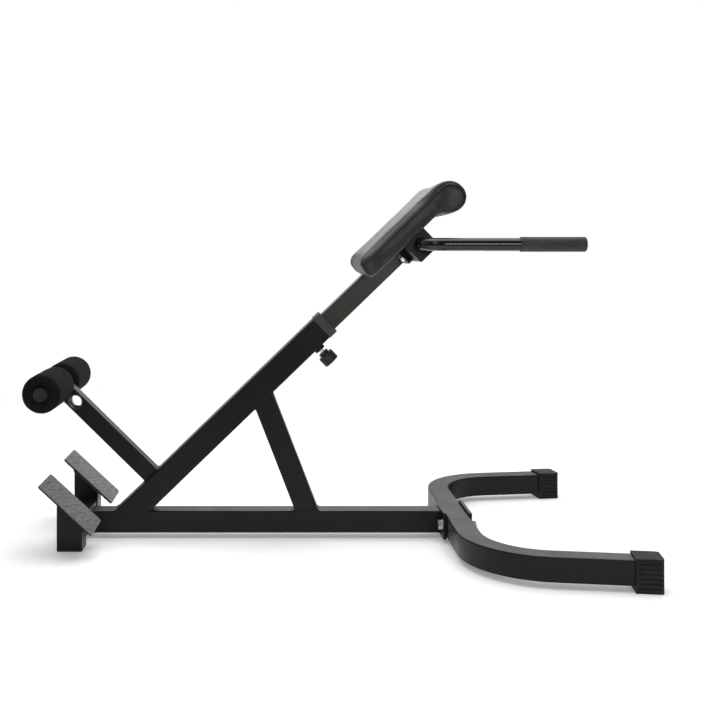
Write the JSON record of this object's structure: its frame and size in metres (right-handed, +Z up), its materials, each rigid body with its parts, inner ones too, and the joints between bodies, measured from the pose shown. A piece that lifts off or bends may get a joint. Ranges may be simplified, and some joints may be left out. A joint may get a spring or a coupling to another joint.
{
  "type": "roman chair",
  "caption": "45 degree roman chair with a sliding hip pad on a square post, side hand grips, foam ankle rollers, tilted footplates and a U-shaped front leg.",
  "frame": {"origin": "on the floor, under the middle of the chair's bounding box", "axes": "+X to the front (hand grips and U-shaped leg), +Y to the left, +Z up"},
  "size_m": [1.157, 0.7416, 0.7238],
  "materials": {
    "frame_paint": "satin powder coat",
    "post_paint": "satin, slightly brown",
    "gloss_paint": "gloss",
    "zinc": "zinc plated",
    "black_plastic": "moulded, fine grain",
    "collar_plastic": "moulded",
    "tread_plastic": "embossed non-slip",
    "cap_rubber": "ribbed",
    "grip_rubber": "matt, fine texture",
    "foam": "open foam skin",
    "pad_leather": "synthetic leather, satin",
    "board_wood": "raw plywood"
  },
  "bodies": {
    "frame": {"base_beam": "frame_paint", "rear_cross_tube": "frame_paint", "rear_post_right": "frame_paint", "rear_post_left": "frame_paint", "rear_foot_plug_right": "black_plastic", "rear_foot_plug_left": "black_plastic", "footplate_right": "frame_paint", "footplate_left": "frame_paint", "footplate_tread_right": "tread_plastic", "footplate_tread_left": "tread_plastic", "footplate_studs": "zinc", "footplate_nuts": "zinc", "front_flange_plate": "frame_paint", "front_leg": "frame_paint", "leg_back_plate": "frame_paint", "leg_bolts": "zinc", "leg_washers": "zinc", "leg_nuts": "zinc", "foot_cap_right": "cap_rubber", "foot_cap_left": "cap_rubber", "main_tube": "frame_paint", "support_brace": "frame_paint", "collar_sleeve": "collar_plastic", "pin_boss": "frame_paint", "pin_barrel": "zinc", "pin_spring": "zinc", "roller_post": "frame_paint", "roller_post_cap": "black_plastic", "roller_tube_bushes": "black_plastic", "spare_hole_bushes": "black_plastic", "roller_tube": "gloss_paint", "roller_stops": "black_plastic", "roller_plug_right": "black_plastic", "roller_plug_left": "black_plastic"},
    "carriage": {"pad_post": "post_paint", "pad_post_plug": "black_plastic", "post_end_plate": "frame_paint", "cross_tube_plate": "frame_paint", "joint_bolts": "zinc", "joint_nuts": "zinc", "handle_cross_tube": "frame_paint", "cross_tube_end_right": "frame_paint", "cross_tube_end_left": "frame_paint", "handle_bar_right": "gloss_paint", "handle_bar_left": "gloss_paint", "handle_grip_right": "grip_rubber", "handle_grip_left": "grip_rubber", "pad_mount_plate": "frame_paint", "pad_spacer": "frame_paint", "pad_screws": "zinc", "pad_tee_nuts": "zinc", "pad_board": "board_wood", "hip_pad": "pad_leather"},
    "pull_pin": {"pull_pin": "zinc", "pull_knob": "black_plastic"},
    "roller_right": {"roller_foam_right": "foam", "roller_sleeve_right": "black_plastic"},
    "roller_left": {"roller_foam_left": "foam", "roller_sleeve_left": "black_plastic"}
  },
  "joints": [
    {"name": "post_slide", "type": "slide", "parent": "frame", "child": "carriage", "axis": [0.7193, 0, 0.6947], "range_m": [0, 0.16]},
    {"name": "pull_pin_travel", "type": "slide", "parent": "frame", "child": "pull_pin", "axis": [0.6947, 0, -0.7193], "range_m": [-0.0055, 0.004], "deforming": ["pin_spring"]},
    {"name": "roller_right_spin", "type": "hinge", "parent": "frame", "child": "roller_right", "pos_m": [-0.541, 0, 0.3152], "axis": [0, 1, 0], "continuous": true},
    {"name": "roller_left_spin", "type": "hinge", "parent": "frame", "child": "roller_left", "pos_m": [-0.541, 0, 0.3152], "axis": [0, 1, 0], "continuous": true}
  ]
}
